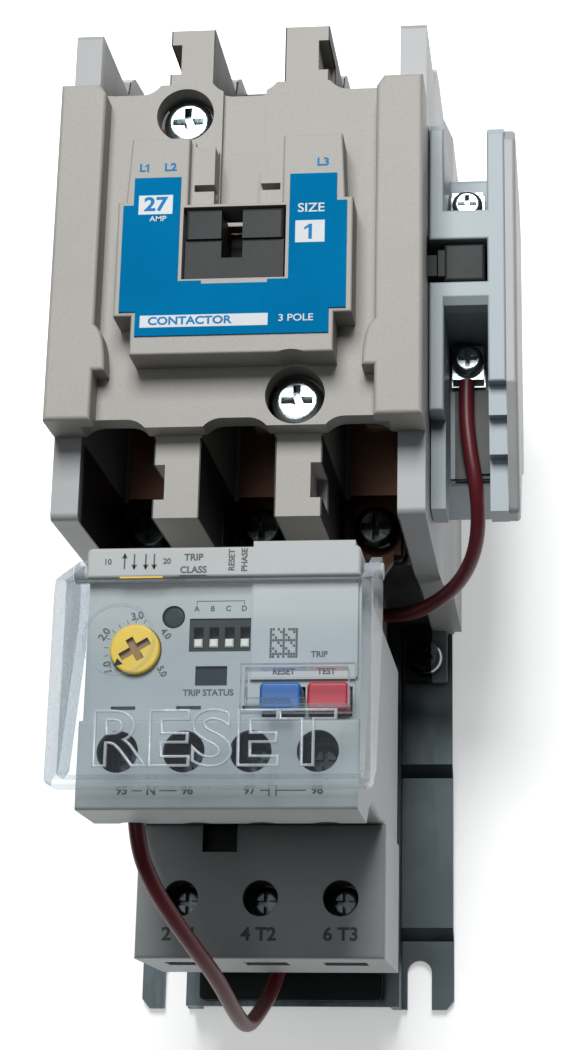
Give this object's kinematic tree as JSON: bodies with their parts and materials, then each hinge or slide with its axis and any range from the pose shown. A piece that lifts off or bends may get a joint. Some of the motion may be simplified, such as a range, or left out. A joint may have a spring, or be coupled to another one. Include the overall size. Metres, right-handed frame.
{
  "type": "motor starter",
  "caption": "Panel-mounted motor starter: three-pole contactor with side auxiliary contact, overload relay with clear reset cover, and control wires on a steel plate.",
  "frame": {"origin": "centre of the base plate on the panel surface, on the contactor's middle line", "axes": "+X across the panel to the right, +Y towards the line terminals, +Z out of the panel"},
  "size_m": [0.0823, 0.1886, 0.126],
  "materials": {
    "zinc_steel": "bright zinc plated pressed steel with faint rolling marks",
    "screw_steel": "zinc plated screw steel",
    "base_moulding": "pale cool grey thermoset moulding",
    "cover_moulding": "warm beige-grey moulding with a fine speckle",
    "aux_moulding": "pale bluish grey moulding",
    "relay_moulding": "light grey satin moulding",
    "dark_moulding": "charcoal moulding",
    "rubber_pad": "black rubber",
    "core_steel": "laminated silicon steel",
    "copper": "plated copper",
    "copper_winding": "enamelled copper wire",
    "coil_plastic": "dark glass filled nylon",
    "terminal_brass": "brass",
    "contact_silver": "silver alloy",
    "label_print": "printed blue film",
    "spring_steel": "drawn spring wire",
    "board_green": "green circuit board",
    "toggle_white": "ivory moulding",
    "dark_lens": "smoked lens",
    "dial_yellow": "yellow moulding",
    "button_blue": "blue moulding",
    "button_red": "red moulding",
    "clear_plastic": "clear polycarbonate",
    "wire_red": "dark red wire insulation"
  },
  "bodies": {
    "frame": {"base_plate": "zinc_steel", "plate_screws": "screw_steel", "contactor_base": "base_moulding", "magnet_cushion": "rubber_pad", "magnet_core": "core_steel", "shading_rings": "copper", "coil_bobbin": "coil_plastic", "coil_winding": "copper_winding", "coil_terminals": "terminal_brass", "coil_terminal_screws": "screw_steel", "line_terminals": "copper", "load_terminals": "copper", "fixed_contact_tips": "contact_silver", "line_terminal_screws": "screw_steel", "load_terminal_screws": "screw_steel", "line_clamps": "screw_steel", "contactor_cover": "cover_moulding", "label_panel": "cover_moulding", "name_label": "label_print", "cover_screws": "screw_steel", "aux_housing": "aux_moulding", "aux_side_cover": "base_moulding", "aux_terminals": "screw_steel", "aux_terminal_screws": "screw_steel", "overload_base": "relay_moulding", "overload_foot": "dark_moulding", "overload_front": "relay_moulding", "overload_terminal_block": "relay_moulding", "overload_terminal_screws": "screw_steel", "conductor_bars": "copper", "load_clamps": "screw_steel", "current_transformers": "dark_moulding", "circuit_board": "board_green", "trip_relay": "dark_moulding", "control_clamps": "screw_steel", "control_terminal_screws": "screw_steel", "dip_switch_body": "dark_moulding", "status_indicators": "dark_lens", "holding_wire": "wire_red", "coil_wire": "wire_red"},
    "contact_carrier_body": {"contact_carrier": "dark_moulding", "armature": "core_steel", "armature_pin": "screw_steel", "moving_contacts": "copper", "moving_contact_tips": "contact_silver", "contact_springs": "spring_steel", "return_springs": "spring_steel"},
    "aux_plunger_body": {"aux_plunger": "dark_moulding", "aux_bridge": "copper", "aux_spring": "spring_steel"},
    "cover_body": {"reset_cover": "clear_plastic"},
    "reset_body": {"reset_button": "button_blue", "reset_spring": "spring_steel"},
    "test_body": {"test_button": "button_red", "test_spring": "spring_steel"},
    "dial_body": {"current_dial": "dial_yellow"},
    "toggle_1_body": {"dip_toggle_1": "toggle_white"},
    "toggle_2_body": {"dip_toggle_2": "toggle_white"},
    "toggle_3_body": {"dip_toggle_3": "toggle_white"},
    "toggle_4_body": {"dip_toggle_4": "toggle_white"}
  },
  "joints": [
    {"name": "contact_carrier_slide", "type": "slide", "parent": "frame", "child": "contact_carrier_body", "axis": [0, 0, 1], "range_m": [-0.0055, 0], "stiffness_N_per_m": 900, "springref_m": 0.004, "deforming": ["return_springs"]},
    {"name": "aux_plunger_slide", "type": "slide", "parent": "frame", "child": "aux_plunger_body", "axis": [0, 0, 1], "range_m": [-0.0055, 0], "stiffness_N_per_m": 150, "springref_m": 0.004, "deforming": ["aux_spring"]},
    {"name": "reset_cover_tilt", "type": "hinge", "parent": "frame", "child": "cover_body", "pos_m": [0.00035, -0.0275, 0.1108], "axis": [1, 0, 0], "range_deg": [0, 3], "stiffness_Nm_per_rad": 0.6, "springref_deg": -2.86},
    {"name": "reset_button_slide", "type": "slide", "parent": "frame", "child": "reset_body", "axis": [0, 0, 1], "range_m": [-0.0014, 0], "deforming": ["reset_spring"]},
    {"name": "test_button_slide", "type": "slide", "parent": "frame", "child": "test_body", "axis": [0, 0, 1], "range_m": [-0.0014, 0], "stiffness_N_per_m": 300, "springref_m": 0.001, "deforming": ["test_spring"]},
    {"name": "current_dial_turn", "type": "hinge", "parent": "frame", "child": "dial_body", "pos_m": [-0.0137, -0.0411, 0.11], "axis": [0, 0, 1], "range_deg": [-270, 0]},
    {"name": "dip_toggle_1_slide", "type": "slide", "parent": "frame", "child": "toggle_1_body", "axis": [0, 1, 0], "range_m": [0, 0.0019]},
    {"name": "dip_toggle_2_slide", "type": "slide", "parent": "frame", "child": "toggle_2_body", "axis": [0, 1, 0], "range_m": [0, 0.0019]},
    {"name": "dip_toggle_3_slide", "type": "slide", "parent": "frame", "child": "toggle_3_body", "axis": [0, 1, 0], "range_m": [0, 0.0019]},
    {"name": "dip_toggle_4_slide", "type": "slide", "parent": "frame", "child": "toggle_4_body", "axis": [0, 1, 0], "range_m": [0, 0.0019]}
  ],
  "couplings": [
    {"joint": "aux_plunger_slide", "follows": "contact_carrier_slide", "ratio": 1},
    {"joint": "reset_button_slide", "follows": "reset_cover_tilt", "m_per_rad": -0.0244}
  ]
}
